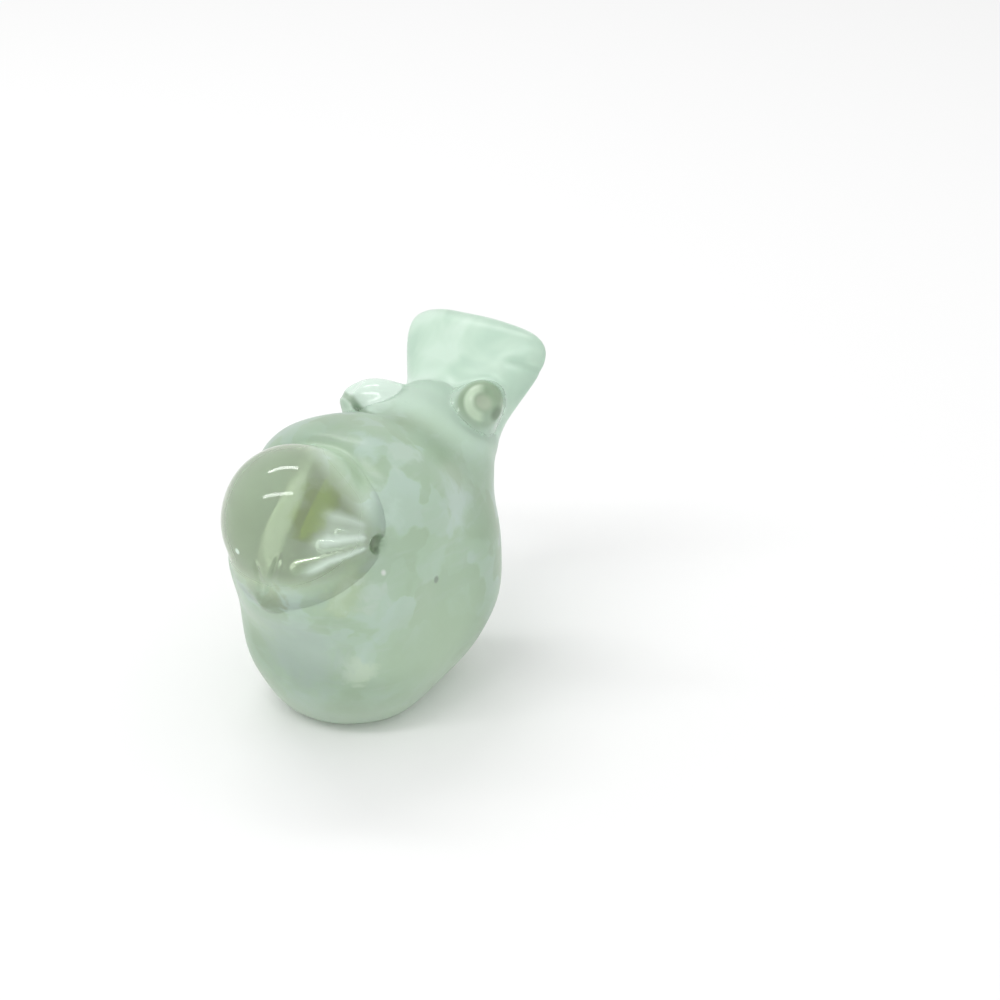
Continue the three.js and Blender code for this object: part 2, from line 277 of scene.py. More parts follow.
def dimple_depth(node, grid):
    bead, _ = node_middle(node)
    outward = (bead - head_centre) / np.linalg.norm(bead - head_centre)
    return reach_from(bead + outward * (DIMPLE_RADIUS + DIMPLE_LIFT), grid) - DIMPLE_RADIUS


def whole_bird(depths, grid):
    field = tooled(melted(depths, grid), grid)
    return -soft_union(-field, np.minimum(*(dimple_depth(node, grid) for node in TEARS)), DIMPLE_FILLET)


bird_field = whole_bird(depths, (X, Y, Z))
print("the melted bird holds about", round(float((bird_field < 0).sum()) * PITCH ** 3 / 1000, 1), "cubic cm")

# %% [markdown]
# The head is glossy and full of fine detail, and the wing tips are small, so each gets a grid of its own
# at half the pitch. The neighbours' fields are smooth enough to be read between their grid points, and
# the ball is worked out afresh from its formula, so that no step shows in its highlights.

# %% Finer grids
FINE_PITCH = 0.25
FINE_MARGIN = 2.5
FINE_NEIGHBOURS = {
    "head": ("body", "beak"),
    "left_wing_tip": ("left_wing_tip", "body", "tail"),
    "right_wing_tip": ("right_wing_tip", "body", "tail"),
}


def sampled(field, points):
    place = points / PITCH - low_index
    corner = np.floor(place).astype(int)
    share = place - corner
    total = 0
    for step in np.ndindex(2, 2, 2):
        weight = np.abs(1 - np.array(step) - share).prod(axis=1)
        total = total + weight * field[tuple((corner + step).T)]
    return total


def fine_fields(name):
    low, high = (np.array(v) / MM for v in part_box(name))
    start = np.floor((low - FINE_MARGIN) / FINE_PITCH).astype(int)
    shape = np.ceil((high + FINE_MARGIN) / FINE_PITCH).astype(int) - start + 1
    grid = np.meshgrid(*[(start[k] + np.arange(shape[k])) * FINE_PITCH for k in range(3)], indexing="ij")
    points = np.stack([axis.ravel() for axis in grid], axis=1)
    fine = {other: BAND * PITCH for other in depths}
    for other in FINE_NEIGHBOURS[name]:
        fine[other] = sampled(depths[other], points).reshape(shape)
    if name == "head":
        fine[name] = reach_from(head_centre, grid) - head_radius
    return start, grid, fine


def tear_field(grid):
    return np.min([tear_depth(grid, node, *tear) for node, tears in TEARS.items() for tear in tears], axis=0)


print("finer grids for", ", ".join(FINE_NEIGHBOURS))

# %% [markdown]
# The melted bird is cut apart again along the frame's seams, so each bit stays a piece of its own. The
# cut lies where two bits are equally near. Each piece reaches a little past it into its neighbour: a hair
# of air there would shine like a mirror, and a rim that ends inside its neighbour leaves no line on the
# outside. Bits of another colour or pitch stand a few hundredths of a millimetre proud, so their own rim
# shows and not a mix of two skins. A few rounds of relaxing take out the grid's steps, each moving the
# points in and then out again so that nothing shrinks.

# %% Pieces from fields
OVERLAP = 0.4
PROUD = {"head": 0.03, "tail": 0.04, "left_wing_tip": 0.05, "right_wing_tip": 0.05}
RELAX_ROUNDS = 4
RELAX_IN = 0.5
RELAX_OUT = -0.53


def skin(field, pitch, start):
    grid = vdb.FloatGrid(float(BAND * pitch))
    grid.gridClass = vdb.GridClass.LEVEL_SET
    grid.transform = vdb.createLinearTransform(voxelSize=pitch)
    grid.copyFromArray(np.ascontiguousarray(field, dtype=np.float32), ijk=tuple(int(k) for k in start))
    points, quads = grid.convertToQuads(isovalue=0)
    return points.astype(float), quads.astype(int)


def quad_edges(quads):
    edges = np.concatenate([quads[:, [k, (k + 1) % 4]] for k in range(4)])
    return np.unique(np.sort(edges, axis=1), axis=0, return_counts=True)


def relaxed(points, quads):
    edges, _ = quad_edges(quads)
    both = np.concatenate([edges, edges[:, ::-1]])
    count = np.bincount(both[:, 0], minlength=len(points))
    for step in (RELAX_IN, RELAX_OUT) * RELAX_ROUNDS:
        mean = [np.bincount(both[:, 0], points[both[:, 1], k], len(points)) / count for k in range(3)]
        points = points + step * (np.stack(mean, axis=1) - points)
    return points


def swept_volume(points, quads):
    a, b, c, d = (points[quads[:, k]] for k in range(4))
    return float((a * (np.cross(b, c) + np.cross(c, d))).sum() / 6)


def glass_piece(name, field, pitch=PITCH, start=low_index):
    points, quads = skin(field, pitch, start)
    points = relaxed(points, quads)
    volume = swept_volume(points, quads)
    if volume < 0:
        quads = quads[:, ::-1]
    mesh = bpy.data.meshes.new(name)
    mesh.from_pydata((points * MM).tolist(), [], quads.tolist())
    mesh.shade_smooth()
    piece = bpy.data.objects.new(name, mesh)
    bpy.context.scene.collection.objects.link(piece)
    loose = int((quad_edges(quads)[1] != 2).sum())
    print(name, "has", len(quads), "faces,", loose, "open edges and", round(abs(volume)), "cubic mm")
    return piece


def own_share(name, depths):
    nearest_other = functools.reduce(np.minimum, [field for other, field in depths.items() if other != name])
    return (depths[name] - nearest_other) / 2 - OVERLAP


def cut_piece(name):
    pitch, start, grid = PITCH, low_index, (X, Y, Z)
    near, field = depths, bird_field
    if name in FINE_NEIGHBOURS:
        pitch = FINE_PITCH
        start, grid, near = fine_fields(name)
        field = whole_bird(near, grid)
    field = np.maximum(field - PROUD.get(name, 0), own_share(name, near))
    if name == "head":
        field = np.maximum(field, -tear_field(grid))
    return glass_piece("glass_" + name, field, pitch, start)


pieces = {name: cut_piece(name) for name in depths}

# %% [markdown]
# The eye beads and the two coloured veins are small, so they get a finer grid of their own. The veins
# were drawn into the head while it was hot: a pale leaf and an olive one, side by side.

# %% Eyes and veins
BEAD_PITCH = 0.2
BEAD_SOFTENING = {"left_eye": 0.15, "right_eye": 0.15, "pale_vein": 0.25, "olive_vein": 0.25}

for name, spread in BEAD_SOFTENING.items():
    low, high = (np.array(v) / MM / BEAD_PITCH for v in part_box(name))
    start = np.floor(low).astype(int) - MARGIN
    shape = tuple(np.ceil(high).astype(int) + MARGIN - start + 1)
    field = softened(depth_field(name, BEAD_PITCH, start, shape), spread / BEAD_PITCH)
    pieces[name] = glass_piece("glass_" + name, field, BEAD_PITCH, start)

# %% [markdown]
# A finish is a small graph of nodes that ends in one surface shader. These helpers make the parts that
# most finishes share: a new material, a cloud pattern fixed to the object, and a ramp of colours along
# it. Patterns are sized in millimetres of glass, so that a speck stays a speck whatever the picture's
# scale.

# %% Parts of a finish
CLOUD_DETAIL = 2.0
FINE_DETAIL = 3.0
CLOUD_GRAIN = 0.45
CLOUD_SWIRL = 0.6


def new_finish(name, through, rough, ior=1.5):
    finish = bpy.data.materials.new(name)
    finish.use_nodes = True
    surface = finish.node_tree.nodes["Principled BSDF"]
    surface.inputs["Transmission Weight"].default_value = through
    surface.inputs["Roughness"].default_value = rough
    surface.inputs["IOR"].default_value = ior
    return finish, surface


def join(finish, source, target):
    finish.node_tree.links.new(source, target)


def add(finish, kind, **links):
    node = finish.node_tree.nodes.new("ShaderNode" + kind)
    for socket, source in links.items():
        join(finish, source, node.inputs[socket])
    return node


def object_place(finish):
    return add(finish, "TexCoord").outputs["Object"]


def clouds(finish, size, detail=CLOUD_DETAIL):
    node = add(finish, "TexNoise", Vector=object_place(finish))
    node.inputs["Scale"].default_value = 1 / (size * MM)
    node.inputs["Detail"].default_value = detail
    node.inputs["Roughness"].default_value = CLOUD_GRAIN
    node.inputs["Distortion"].default_value = CLOUD_SWIRL
    return node.outputs["Fac"]


def colour_ramp(finish, source, *stops):
    node = add(finish, "ValToRGB", Fac=source)
    while len(node.color_ramp.elements) < len(stops):
        node.color_ramp.elements.new(0.5)
    for element, (place, colour) in zip(node.color_ramp.elements, stops):
        element.position = place
        element.color = (*colour, 1)
    return node.outputs["Color"]


print("patterns are sized in steps of", MM, "m")

# %% [markdown]
# Hand-made glass changes from place to place: clear here, milky there, stained by a bead. Each change is
# a share from 0 to 1, worked out from where a point lies on the bird, by its distance from a spot or its
# offset along a way. A share rises or falls over an edge, given by its two ends.

# %% Shares
RISING = (0, 1)
FALLING = (1, 0)
MARK_EDGE = (0.3, 1.1)


def put(finish, value, target):
    if isinstance(value, bpy.types.NodeSocket):
        join(finish, value, target)
    else:
        target.default_value = value


def figure(finish, operation, first, second=0.0):
    node = add(finish, "Math")
    node.operation = operation
    put(finish, first, node.inputs[0])
    put(finish, second, node.inputs[1])
    return node.outputs["Value"]


def product(finish, *shares):
    return functools.reduce(lambda first, second: figure(finish, "MULTIPLY", first, second), shares)


def vector_figure(finish, operation, *values):
    node = add(finish, "VectorMath")
    node.operation = operation
    for socket, value in zip(node.inputs, values):
        put(finish, value, socket)
    return node


def distance_from(finish, spot):
    spot_in_metres = [v * MM for v in spot]
    return vector_figure(finish, "DISTANCE", object_place(finish), spot_in_metres).outputs["Value"]


def offset_along(finish, spot, way):
    along = vector_figure(finish, "DOT_PRODUCT", object_place(finish), way).outputs["Value"]
    return figure(finish, "SUBTRACT", along, float(np.dot(spot, way)) * MM)


def smooth_range(finish, source, edge, shares):
    node = add(finish, "MapRange", Value=source)
    node.interpolation_type = "SMOOTHSTEP"
    for socket, value in zip(("From Min", "From Max", "To Min", "To Max"), (*edge, *shares)):
        node.inputs[socket].default_value = value
    return node.outputs["Result"]


def mm_range(finish, source, edge, shares):
    return smooth_range(finish, source, [v * MM for v in edge], shares)


def spot_share(finish, spot, edge, share=1):
    return mm_range(finish, distance_from(finish, spot), edge, (share, 0))


def mark_share(finish, mark):
    offset = figure(finish, "ABSOLUTE", offset_along(finish, mark["spot"], mark["across"]))
    near = mm_range(finish, offset, [share * mark["width"] for share in MARK_EDGE], FALLING)
    fade = spot_share(finish, mark["middle"], (FADE_START * mark["reach"], mark["reach"]))
    return product(finish, near, fade)


print("shares can follow", ", ".join(MARKS))

# %% [markdown]
# A share then mixes two colours, and several shares lay one colour over another, from the lowest to the
# topmost. No texture picture is needed, and the finish stays fixed to the object from any side. A fine
# ripple breaks up the shine where a skin isn't polished.

# %% Mixes and ripples
RIPPLE_HEIGHT = 0.06


def mixed(finish, share, first, second):
    node = add(finish, "Mix", Factor=share)
    node.data_type = "RGBA"
    colours = [socket for socket in node.inputs if socket.type == "RGBA"]
    for socket, colour in zip(colours, (first, second)):
        put(finish, (*colour, 1) if isinstance(colour, tuple) else colour, socket)
    return next(socket for socket in node.outputs if socket.type == "RGBA")


def layered(finish, tone, *layers):
    for share, colour in layers:
        tone = mixed(finish, share, tone, colour)
    return tone


def ripple(finish, surface, size, share):
    bump = add(finish, "Bump", Height=clouds(finish, size, FINE_DETAIL), Strength=share)
    bump.inputs["Distance"].default_value = RIPPLE_HEIGHT * MM
    join(finish, bump.outputs["Normal"], surface.inputs["Normal"])


print("ripples are", RIPPLE_HEIGHT, "mm high")

# %% [markdown]
# The body is milky. White haze and green colour were stirred into the gather and folded as it was shaped,
# so soft patches lie over one another: broad clouds, folds with a clearer edge, and level wisps. The
# clouds and wisps are noise patterns fixed to the object. The folds are cells of a bent mosaic, each cell
# a shade of its own.

# %% Milky clouds and folds
DEEP = (0.455, 0.605, 0.435)
MIDDLE = (0.51, 0.68, 0.51)
PALE = (0.58, 0.735, 0.645)
CLOUD_SIZE = 8
CLOUD_STOPS = (0.34, 0.50, 0.66)
BEND_SIZE = 5
BEND_PUSH = 7
FOLD_SIZE = 6
FOLD_SOFTNESS = 0.27
FOLD_STOPS = (0.2, 0.50, 0.8)
FOLD_HEIGHTS = (14, 28)
FOLD_SHARES = (0.2, 0.75)
WISP = (0.59, 0.71, 0.63)
WISP_SIZE = 9
WISP_SQUASH = (1, 1, 6)
WISP_EDGE = (0.52, 0.70)
WISP_SHARE = 0.3

bird_glass, bird_surface = new_finish("bird_glass", through=0.5, rough=0.22)
height = add(bird_glass, "SeparateXYZ", Vector=object_place(bird_glass)).outputs["Z"]
milk = colour_ramp(bird_glass, clouds(bird_glass, CLOUD_SIZE), *zip(CLOUD_STOPS, (DEEP, MIDDLE, PALE)))

bend = add(bird_glass, "TexNoise", Vector=object_place(bird_glass))
bend.inputs["Scale"].default_value = 1 / (BEND_SIZE * MM)
push = (BEND_PUSH * MM, BEND_PUSH * MM, BEND_PUSH * MM)
bent = vector_figure(bird_glass, "MULTIPLY_ADD", bend.outputs["Color"], push, object_place(bird_glass))
mosaic = add(bird_glass, "TexVoronoi", Vector=bent.outputs["Vector"])
mosaic.feature = "SMOOTH_F1"
mosaic.inputs["Scale"].default_value = 1 / (FOLD_SIZE * MM)
mosaic.inputs["Smoothness"].default_value = FOLD_SOFTNESS
shade = add(bird_glass, "SeparateColor", Color=mosaic.outputs["Color"]).outputs["Red"]
folds = colour_ramp(bird_glass, shade, *zip(FOLD_STOPS, (DEEP, MIDDLE, PALE)))
milk = mixed(bird_glass, mm_range(bird_glass, height, FOLD_HEIGHTS, FOLD_SHARES), milk, folds)

squashed = vector_figure(bird_glass, "MULTIPLY", object_place(bird_glass), WISP_SQUASH)
wisps = add(bird_glass, "TexNoise", Vector=squashed.outputs["Vector"])
wisps.inputs["Scale"].default_value = 1 / (WISP_SIZE * MM)
wisps.inputs["Detail"].default_value = FINE_DETAIL
wisp_share = smooth_range(bird_glass, wisps.outputs["Fac"], WISP_EDGE, (0, WISP_SHARE))
milk = mixed(bird_glass, wisp_share, milk, WISP)
print("milky clouds, folds and wisps")

# %% [markdown]
# Some patches have a known place: a bluish fold on the flank, a painted pool of light low on the breast,
# a deeper green saddle between the wing tips. Each is a spot with a reach and a colour, and a later one
# lies over an earlier one. A cloud pattern breaks up their edges. The patches named shade and the beak
# patch are painted shade, and the cheek and chin patches are painted light in the valley where the ball
# meets the body. The specks are a dark grain caught in the glass and a white dot that is a painted glint.

# %% Patches and specks
PATCHES = {
    "flank fold": ((19.9, -1.3, 43.6), 6.5, (0.61, 0.75, 0.69)),
    "shoulder fold": ((11.8, -8.0, 54.3), 4.0, (0.63, 0.77, 0.67)),
    # painted light: a pool of focused light low on the breast
    "breast light pool": ((13.5, -25.0, 17.3), 3.6, (0.66, 0.80, 0.63)),
    "breast haze": ((3.3, -29.6, 20.6), 11.0, (0.50, 0.62, 0.555)),
    "saddle": ((4.9, 7.0, 53.5), 6.0, (0.40, 0.53, 0.34)),
    "flank shade": ((16.2, 3.5, 47.4), 4.0, (0.44, 0.58, 0.41)),
    "throat olive": ((13.1, -28.1, 36.2), 6.0, (0.53, 0.67, 0.44)),
    "throat chip": ((15.3, -24.6, 34.7), 4.0, (0.62, 0.74, 0.66)),
    "nape fold": ((6.5, -11.0, 55.5), 4.0, (0.62, 0.78, 0.70)),
    "low flank": ((21.3, -10.1, 18.9), 15.0, (0.485, 0.64, 0.46)),
    "far shoulder": ((-6.0, 10.0, 55.5), 8.0, (0.80, 0.96, 0.86)),
    "rump": ((1.0, 31.0, 40.0), 12.0, (0.66, 0.86, 0.71)),
    "nape shade": ((6.0, -16.5, 53.0), 5.0, (0.44, 0.59, 0.41)),
    # painted shade: the beak patch darkens the pinched beak
    "beak": ((2.2, -34.6, 34.4), 3.6, (0.41, 0.52, 0.35)),
    "beak root": ((-0.4, -35.5, 37.2), 3.0, (0.43, 0.55, 0.39)),
    "right of beak": ((-2.9, -36.2, 38.8), 3.0, (0.46, 0.59, 0.42)),
    # painted light: the cheek and chin patches lift the shade in the valley between ball and body
    "cheek": ((11.5, -16.5, 46.0), 5.0, (0.64, 0.80, 0.70)),
    "chin": ((11.5, -28.0, 36.8), 4.0, (0.62, 0.77, 0.58)),
}
SPECKS = {
    # painted highlight: the white bubble speck is a painted glint
    "bubble": ((16.5, -21.3, 37.4), 0.8, (1.0, 1.0, 1.0)),
    "grain": ((20.7, -9.8, 31.6), 0.8, (0.27, 0.34, 0.27)),
}
PATCH_EDGE = (0.3, 1.1)
PATCH_SHARE = 0.85
SPECK_EDGE = (0.5, 1.2)
RAGGED_SIZE = 3.5
RAGGED_PUSH = 12

ragged = figure(bird_glass, "SUBTRACT", clouds(bird_glass, RAGGED_SIZE, FINE_DETAIL), 0.5)
ragged = figure(bird_glass, "MULTIPLY", ragged, RAGGED_PUSH * MM)
for spot, reach, colour in PATCHES.values():
    ragged_distance = figure(bird_glass, "ADD", distance_from(bird_glass, spot), ragged)
    share = mm_range(bird_glass, ragged_distance, [v * reach for v in PATCH_EDGE], (PATCH_SHARE, 0))
    milk = mixed(bird_glass, share, milk, colour)
for spot, reach, colour in SPECKS.values():
    milk = mixed(bird_glass, spot_share(bird_glass, spot, [v * reach for v in SPECK_EDGE]), milk, colour)
print(len(PATCHES), "patches and", len(SPECKS), "specks")

# %% [markdown]
# The head is the clearest glass. Its front is a window with a thin haze, and the haze thickens again
# towards the nape and the chin, where the ball melts into the body. So the shares below depend on the
# distance from the middle of the ball, on the height, and on how far a point lies towards nape and neck.
# Inside the ball the tears' walls are clear.

# %% Where the glass clears
NEAR_EDGE = (3.0, -0.5)
WALL_EDGE = (-0.6, -2.0)
CHIN_EDGE = (-10.5, -3.5)
NAPE_WAY = (0.53, 0.66, 0.53)
NAPE_EDGE = (0.60, 0.95)
NECK_WAY = (0, 1, 0)
NECK_EDGE = (0.42, 0.62)

from_head = distance_from(bird_glass, head_centre)


def ball_share(edge):
    return mm_range(bird_glass, from_head, [head_radius + v for v in edge], RISING)


def before_share(way, edge):
    offset = offset_along(bird_glass, head_centre, way)
    return mm_range(bird_glass, offset, [v * head_radius for v in edge], FALLING)


near_head = ball_share(NEAR_EDGE)
in_head = ball_share(WALL_EDGE)
above_chin = mm_range(bird_glass, height, [head_centre[2] + v for v in CHIN_EDGE], RISING)
before_nape = before_share(NAPE_WAY, NAPE_EDGE)
before_neck = before_share(NECK_WAY, NECK_EDGE)
window = product(bird_glass, above_chin, before_nape, before_neck)
print("the window lies on a ball of", round(head_radius, 1), "mm radius")

# %% [markdown]
# Air that is drawn out in hot glass leaves a silvery fan of streaks beside the tear. This fan spreads
# from the left eye across the window, on the side that faces the camera. The streaks are real, but their
# silvery shine is painted reflection in the colour. Two offsets from its tip describe it, one along the
# fan and one across it: their ratio tells the ray that a point lies on, and a ramp over the rays makes
# bright and dim streaks. The fan clouds the window again, and so does one small seed bubble above the
# beak, painted with the same shine.

# %% Silvery fan
FAN_WAY = (-0.848, -0.530, 0.0)
FAN_ACROSS = (-0.249, 0.398, 0.883)
FAN_FRONT = (0.468, -0.749, 0.469)
TIP_BEHIND_EYE = 6.0
TIP_ABOVE_EYE = 1.0
START_EDGE = (5.0, 6.5)
END_EDGE = (11.55, 16.5)
END_SLANT = 0.35
FRONT_EDGE = (-2, 0)
LEAST_ALONG = 0.5
LOW_RAY = -0.50
HIGH_RAY = 0.50
WAVER_SIZE = 3.0
WAVER = 0.07
STREAKS = ((0.0, 0.0), (0.10, 0.95), (0.22, 0.25), (0.32, 0.45), (0.42, 1.0), (0.54, 0.50), (0.70, 0.45),
           (0.82, 0.65), (1.0, 0.0))
SEED_SPOT = (-3.2, -37.6, 43.8)
SEED_EDGE = (0.3, 0.8)
CLEAR_UNDER_FAN = 0.15

left_bead, _ = node_middle("left_eye")
fan_tip = left_bead - TIP_BEHIND_EYE * np.array(FAN_WAY) + TIP_ABOVE_EYE * np.array(FAN_ACROSS)
along = offset_along(bird_glass, fan_tip, FAN_WAY)
across = offset_along(bird_glass, fan_tip, FAN_ACROSS)
ray = figure(bird_glass, "DIVIDE", across, figure(bird_glass, "MAXIMUM", along, LEAST_ALONG * MM))
waver = figure(bird_glass, "SUBTRACT", clouds(bird_glass, WAVER_SIZE), 0.5)
waver = figure(bird_glass, "MULTIPLY", waver, WAVER)
place = figure(bird_glass, "SUBTRACT", figure(bird_glass, "ADD", ray, waver), LOW_RAY)
place = figure(bird_glass, "DIVIDE", place, HIGH_RAY - LOW_RAY)
streaks = colour_ramp(bird_glass, place, *((spot, (share, share, share)) for spot, share in STREAKS))

started = mm_range(bird_glass, along, START_EDGE, RISING)
slanted = figure(bird_glass, "ADD", along, figure(bird_glass, "MULTIPLY", across, END_SLANT))
not_ended = mm_range(bird_glass, slanted, END_EDGE, FALLING)
on_front = mm_range(bird_glass, offset_along(bird_glass, fan_tip, FAN_FRONT), FRONT_EDGE, RISING)
# painted reflection: the fan's streaks lighten the colour to stand for their silvery shine
fan = product(bird_glass, streaks, started, not_ended, on_front)
fan = figure(bird_glass, "MAXIMUM", fan, spot_share(bird_glass, SEED_SPOT, SEED_EDGE))
left_clear = smooth_range(bird_glass, fan, RISING, (1, CLEAR_UNDER_FAN))
clear_share = product(bird_glass, near_head, window, left_clear)
print("the fan has", len(STREAKS), "steps of brightness and ends", END_EDGE[1], "mm from its tip")

# %% [markdown]
# The colour of the bird glass is built up in layers over the milk: the paler base, which is painted light
# that lifts the shade near the table, the clear window, olive that has bled up from the leaf inside, the
# silvery fan with its painted shine, the rump's mint, painted shade in the groove, the walls of the tears
# and the stain round each bead.

# %% Colours of the bird glass
PAINTED_BASE_LIGHT = (0.74, 0.85, 0.71)
BASE_EDGE = (15, 1)
BASE_SHARE = 0.7
CLEAR_GREEN = (0.69, 0.83, 0.60)
OLIVE_GREEN = (0.56, 0.70, 0.37)
OLIVE_SPOTS = ((9.2, -29.2, 53.8), (8.6, -32.6, 51.3))
OLIVE_EDGE = (2.0, 4.4)
OLIVE_SHARE = 0.9
OLIVE_RAGGED = 0.5
PAINTED_SILVER_SHEEN = (0.74, 0.88, 0.77)
MINT = (0.685, 0.88, 0.735)
TAIL_ROOT = (1.0, 24.0, 50.0)
RUMP_EDGE = (11, 24)
RUMP_SHARE = 0.95
GROOVE_SHADE = (0.40, 0.53, 0.40)
WALL_WHITE = (0.97, 0.99, 0.95)
BEAD_STAIN = (0.27, 0.35, 0.28)
STAIN_EDGE = (0.9, 2.2)
STAIN_SHARE = 0.5

# painted light: the lowest part is painted paler to lift the shade near the table
base_light_lift = mm_range(bird_glass, height, BASE_EDGE, (0, BASE_SHARE))
from_olive = figure(bird_glass, "MINIMUM", *(distance_from(bird_glass, spot) for spot in OLIVE_SPOTS))
from_olive = figure(bird_glass, "ADD", from_olive, figure(bird_glass, "MULTIPLY", ragged, OLIVE_RAGGED))
olive = mm_range(bird_glass, from_olive, OLIVE_EDGE, (OLIVE_SHARE, 0))
near_tail = spot_share(bird_glass, TAIL_ROOT, RUMP_EDGE, RUMP_SHARE)
# painted shade: the groove beside the far wing tip is darkened
groove_shade = mark_share(bird_glass, MARKS["wing_groove"])
beads = [node_middle(node)[0] for node in TEARS]
from_beads = figure(bird_glass, "MINIMUM", *(distance_from(bird_glass, bead) for bead in beads))
stain = mm_range(bird_glass, from_beads, STAIN_EDGE, (STAIN_SHARE, 0))
tint = layered(
    bird_glass, milk, (base_light_lift, PAINTED_BASE_LIGHT), (clear_share, CLEAR_GREEN), (olive, OLIVE_GREEN), (fan, PAINTED_SILVER_SHEEN),
    (near_tail, MINT), (groove_shade, GROOVE_SHADE), (in_head, WALL_WHITE), (stain, BEAD_STAIN))
join(bird_glass, tint, bird_surface.inputs["Base Color"])
print("bird glass coloured with", len(bird_glass.node_tree.nodes), "nodes")

# %% [markdown]
# All shares meet in one surface shader. It scatters a part of the light back as haze and lets the rest
# through, most of it in the window. The satin skin is a little rough and finely rippled, the window is
# polished, and the base was ground on a wheel, so it is matt.

# %% Haze and polish
HAZE_THROUGH = (0.45, 0.03)
CLEAR_GAIN = 0.65
POLISH_EDGE = (0.8, -0.2)
SKIN_ROUGH = (0.3, 0.02)
GROUND_EDGE = (0.6, 0.2)
GROUND_ROUGH = 0.5
RIPPLE_SIZE = 1.6
RIPPLE_EDGE = (0, 0.3)
RIPPLE_SHARE = 0.8

haze_through = smooth_range(bird_glass, near_head, RISING, HAZE_THROUGH)
through = figure(bird_glass, "ADD", haze_through, figure(bird_glass, "MULTIPLY", clear_share, CLEAR_GAIN))
through = figure(bird_glass, "MAXIMUM", through, in_head)
join(bird_glass, through, bird_surface.inputs["Transmission Weight"])

polish = product(bird_glass, window, ball_share(POLISH_EDGE))
polish = figure(bird_glass, "MAXIMUM", polish, in_head)
skin_rough = smooth_range(bird_glass, polish, RISING, SKIN_ROUGH)
matt = mm_range(bird_glass, height, GROUND_EDGE, (0, GROUND_ROUGH))
join(bird_glass, figure(bird_glass, "MAXIMUM", skin_rough, matt), bird_surface.inputs["Roughness"])
unpolished = smooth_range(bird_glass, clear_share, RIPPLE_EDGE, (RIPPLE_SHARE, 0))
ripple(bird_glass, bird_surface, RIPPLE_SIZE, unpolished)
print("bird glass with", len(bird_glass.node_tree.nodes), "nodes")

# %% [markdown]
# The tail is a flattened paddle, paler than the body and satin all over, as glass is when it is shaped
# between cool jaws. Broad clouds keep it from looking like plastic. Its thin rim scatters more light
# towards the eye, which is a matter of the angle between the skin and the line of sight, so the rim's
# share comes from a facing weight.

# %% Tail
TAIL_TONES = ((0.60, 0.80, 0.66), MINT, (0.77, 0.95, 0.82))
TAIL_STOPS = (0.36, 0.50, 0.64)
TAIL_CLOUD_SIZE = 9
RIM_MINT = (0.82, 0.96, 0.87)
RIM_BLEND = 0.35
RIM_EDGE = (0.45, 0.95)
RIM_SHARE = 0.7
CREASE_SHADE = (0.52, 0.70, 0.57)
CREASE_SHARE = 0.4
TAIL_RIPPLE_SIZE = 2.2
RIPPLED_SIZE = 12
RIPPLED_EDGE = (0.35, 0.65)
RIPPLED_SHARES = (0.3, 0.8)

satin, surface = new_finish("satin_glass", through=0.3, rough=0.3)
tail_milk = colour_ramp(satin, clouds(satin, TAIL_CLOUD_SIZE), *zip(TAIL_STOPS, TAIL_TONES))
facing = add(satin, "LayerWeight")
facing.inputs["Blend"].default_value = RIM_BLEND
rim = smooth_range(satin, facing.outputs["Facing"], RIM_EDGE, (0, RIM_SHARE))
# painted shade: the tail crease is darkened
crease_shade = figure(satin, "MULTIPLY", mark_share(satin, MARKS["tail_crease"]), CREASE_SHARE)
tone = layered(satin, tail_milk, (rim, RIM_MINT), (crease_shade, CREASE_SHADE))
join(satin, tone, surface.inputs["Base Color"])
rippled = smooth_range(satin, clouds(satin, RIPPLED_SIZE), RIPPLED_EDGE, RIPPLED_SHARES)
ripple(satin, surface, TAIL_RIPPLE_SIZE, rippled)
print("tail finish with", len(satin.node_tree.nodes), "nodes")

# %% [markdown]
# The wing tips are two nubs pinched up from the back. The near one has a thumb dent that gathers the
# light into a bright crescent on one side and leaves a dark patch on the other. A lens effect that fine
# would need a very dense mesh, so here the crescent is a painted highlight, a ring of paler colour round
# the dent on its lit side, and the dark patch is painted shade. Further out the nub takes on the colour
# of the back. The far nub is a bright mint above its groove, and the groove is darkened with painted
# shade.

# %% Wing tips
NUB_LOW = (0.53, 0.69, 0.53)
NUB_HIGH = (0.40, 0.54, 0.37)
NUB_HEIGHTS = (51, 55)
DENT_GREEN = (0.56, 0.66, 0.50)
DENT_SPOT = (12.7, 18.7, 54.3)
DENT_EDGE = (1.0, 2.4)
DENT_SHARE = 0.9
BACK_GREEN = (0.63, 0.82, 0.67)
BACK_EDGE = (4.2, 5.8)
CRESCENT_HIGHLIGHT = (0.80, 0.98, 0.75)
RING_INSIDE = (1.5, 2.5)
RING_OUTSIDE = (3.2, 4.0)
LIT_WAY = (-0.85, -0.53, 0.0)
LIT_EDGE = (-0.8, 1.0)
LIT_SHARE = 0.95
SHADED_GREEN = (0.22, 0.30, 0.20)
SHADED_SPOT = (15.2, 20.2, 51.9)
SHADED_EDGE = (0.8, 2.2)
SHADED_SHARE = 0.8
ABOVE_GROOVE = (0.82, 0.98, 0.87)
BELOW_GROOVE = (0.55, 0.71, 0.57)
GROOVE_EDGE = (0.2, 1.2)

knob, surface = new_finish("knob_glass", through=0.35, rough=0.1)
knob_height = add(knob, "SeparateXYZ", Vector=object_place(knob)).outputs["Z"]
high_up = mm_range(knob, knob_height, NUB_HEIGHTS, RISING)
from_dent = distance_from(knob, DENT_SPOT)
in_dent = mm_range(knob, from_dent, DENT_EDGE, (DENT_SHARE, 0))
on_back = mm_range(knob, from_dent, BACK_EDGE, RISING)
past_inside = mm_range(knob, from_dent, RING_INSIDE, RISING)
before_outside = mm_range(knob, from_dent, RING_OUTSIDE, FALLING)
